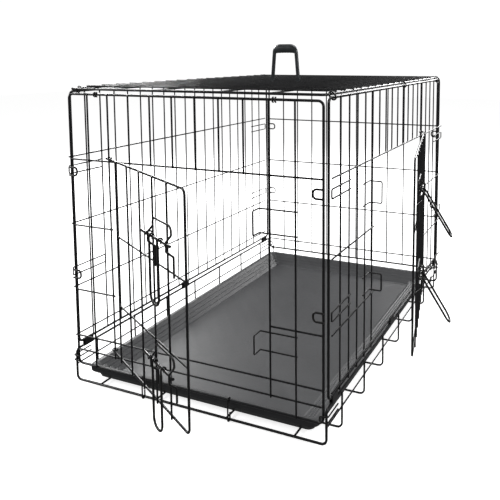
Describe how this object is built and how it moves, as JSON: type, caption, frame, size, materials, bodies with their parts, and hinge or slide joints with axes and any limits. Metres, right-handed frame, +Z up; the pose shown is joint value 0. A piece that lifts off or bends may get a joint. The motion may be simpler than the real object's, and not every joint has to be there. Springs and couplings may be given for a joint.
{
  "type": "wire dog crate",
  "caption": "Folding two-door wire crate for a dog, with a steel wire cage on a wire base, a slide-out tray, slide-bolt latches and a carry handle on top.",
  "frame": {"origin": "centre of the footprint, on the floor", "axes": "+Z up, +Y from the front door end to the rear, +X to the side with the side door"},
  "size_m": [0.744, 1.1091, 0.7276],
  "materials": {
    "frame_wire": "black electro-coat over steel wire, satin",
    "mesh_wire": "black electro-coat over steel wire, satin",
    "hook_wire": "black electro-coat over steel wire, satin",
    "sleeve": "black coated sheet steel, crimped",
    "bolt": "black coat worn bright where the rod slides",
    "tray_plastic": "moulded black plastic with a pebbled floor",
    "handle_plastic": "moulded black plastic"
  },
  "bodies": {
    "base": {"base_frame_wire": "frame_wire", "floor_bows": "mesh_wire", "floor_long_wires": "mesh_wire", "base_side_wires": "mesh_wire", "base_hinge_sleeves": "sleeve", "front_hinge_links": "hook_wire", "rear_hinge_links": "hook_wire", "front_base_hooks": "hook_wire", "rear_base_hooks": "hook_wire"},
    "tray": {"tray": "tray_plastic"},
    "left_side": {"left_frame": "frame_wire", "left_uprights": "mesh_wire", "left_cross_wires": "mesh_wire", "left_corner_hooks": "hook_wire"},
    "right_side": {"right_frame": "frame_wire", "right_uprights": "mesh_wire", "right_cross_wires": "mesh_wire", "right_corner_hooks": "hook_wire", "right_keepers": "hook_wire"},
    "top": {"top_frame": "frame_wire", "top_transverse_wires": "mesh_wire", "top_long_wires": "mesh_wire", "top_rings": "hook_wire"},
    "carry_handle": {"carry_handle": "handle_plastic"},
    "front_panel": {"front_frame": "frame_wire", "front_uprights": "mesh_wire", "front_cross_wires": "mesh_wire", "front_corner_loops": "hook_wire", "front_keepers": "hook_wire", "front_top_rings": "hook_wire"},
    "rear_panel": {"rear_frame": "frame_wire", "rear_uprights": "mesh_wire", "rear_cross_wires": "mesh_wire", "rear_corner_loops": "hook_wire"},
    "front_door": {"front_door_frame": "frame_wire", "front_door_middle_bars": "mesh_wire", "front_door_uprights": "mesh_wire", "front_latch_guards": "hook_wire", "front_latch_eyes": "hook_wire"},
    "side_door": {"side_door_frame": "frame_wire", "side_door_middle_bars": "mesh_wire", "side_door_uprights": "mesh_wire", "side_latch_guards": "hook_wire", "side_latch_eyes": "hook_wire"},
    "front_upper_bolt": {"front_upper_bolt": "bolt"},
    "front_upper_pull": {"front_upper_pull": "hook_wire"},
    "front_lower_bolt": {"front_lower_bolt": "bolt"},
    "front_lower_pull": {"front_lower_pull": "hook_wire"},
    "side_upper_bolt": {"side_upper_bolt": "bolt"},
    "side_upper_pull": {"side_upper_pull": "hook_wire"},
    "side_lower_bolt": {"side_lower_bolt": "bolt"},
    "side_lower_pull": {"side_lower_pull": "hook_wire"}
  },
  "joints": [
    {"name": "tray_slide", "type": "slide", "parent": "base", "child": "tray", "axis": [0, 1, 0], "range_m": [0, 0.86]},
    {"name": "left_side_fold", "type": "hinge", "parent": "base", "child": "left_side", "pos_m": [-0.2895, 0, 0.0845], "axis": [0, -1, 0], "range_deg": [0, 90]},
    {"name": "right_side_fold", "type": "hinge", "parent": "base", "child": "right_side", "pos_m": [0.2895, 0, 0.0845], "axis": [0, -1, 0], "range_deg": [0, 90]},
    {"name": "top_fold", "type": "hinge", "parent": "left_side", "child": "top", "pos_m": [-0.2895, 0, 0.627], "axis": [0, -1, 0], "range_deg": [-90, 0]},
    {"name": "front_panel_fold", "type": "hinge", "parent": "base", "child": "front_panel", "pos_m": [0, -0.4541, 0.044], "axis": [-1, 0, 0], "range_deg": [0, 88.4]},
    {"name": "rear_panel_fold", "type": "hinge", "parent": "base", "child": "rear_panel", "pos_m": [0, 0.4541, 0.044], "axis": [1, 0, 0], "range_deg": [0, 90]},
    {"name": "carry_handle_swing", "type": "hinge", "parent": "top", "child": "carry_handle", "pos_m": [0.006, -0.02345, 0.63657], "axis": [1, 0, 0], "range_deg": [-80, 80]},
    {"name": "front_door_swing", "type": "hinge", "parent": "front_panel", "child": "front_door", "pos_m": [-0.18041, -0.45837, 0.3], "axis": [0, 0, 1], "range_deg": [-125, 30.5]},
    {"name": "side_door_swing", "type": "hinge", "parent": "right_side", "child": "side_door", "pos_m": [0.29357, 0.21103, 0.3], "axis": [0, 0, -1], "range_deg": [-135, 11]},
    {"name": "front_upper_bolt_slide", "type": "slide", "parent": "front_door", "child": "front_upper_bolt", "axis": [0.8616, -0.5075, 0], "range_m": [0, 0.03]},
    {"name": "front_upper_pull_swing", "type": "hinge", "parent": "front_upper_bolt", "child": "front_upper_pull", "pos_m": [0.07238, -0.62622, 0.398], "axis": [0.8616, -0.5075, 0], "range_deg": [-110, 0]},
    {"name": "front_lower_bolt_slide", "type": "slide", "parent": "front_door", "child": "front_lower_bolt", "axis": [0.8616, -0.5075, 0], "range_m": [0, 0.03]},
    {"name": "front_lower_pull_swing", "type": "hinge", "parent": "front_lower_bolt", "child": "front_lower_pull", "pos_m": [0.07238, -0.62622, 0.177], "axis": [0.8616, -0.5075, 0], "range_deg": [-110, 0]},
    {"name": "side_upper_bolt_slide", "type": "slide", "parent": "side_door", "child": "side_upper_bolt", "axis": [0.1908, -0.9816, 0], "range_m": [0, 0.03]},
    {"name": "side_upper_pull_swing", "type": "hinge", "parent": "side_upper_bolt", "child": "side_upper_pull", "pos_m": [0.38748, -0.17311, 0.416], "axis": [-0.1908, 0.9816, 0], "range_deg": [-79, 31]},
    {"name": "side_lower_bolt_slide", "type": "slide", "parent": "side_door", "child": "side_lower_bolt", "axis": [0.1908, -0.9816, 0], "range_m": [0, 0.03]},
    {"name": "side_lower_pull_swing", "type": "hinge", "parent": "side_lower_bolt", "child": "side_lower_pull", "pos_m": [0.38748, -0.17311, 0.231], "axis": [-0.1908, 0.9816, 0], "range_deg": [-79, 31]}
  ],
  "couplings": [
    {"joint": "right_side_fold", "follows": "left_side_fold", "ratio": 1},
    {"joint": "top_fold", "follows": "left_side_fold", "ratio": -1}
  ]
}
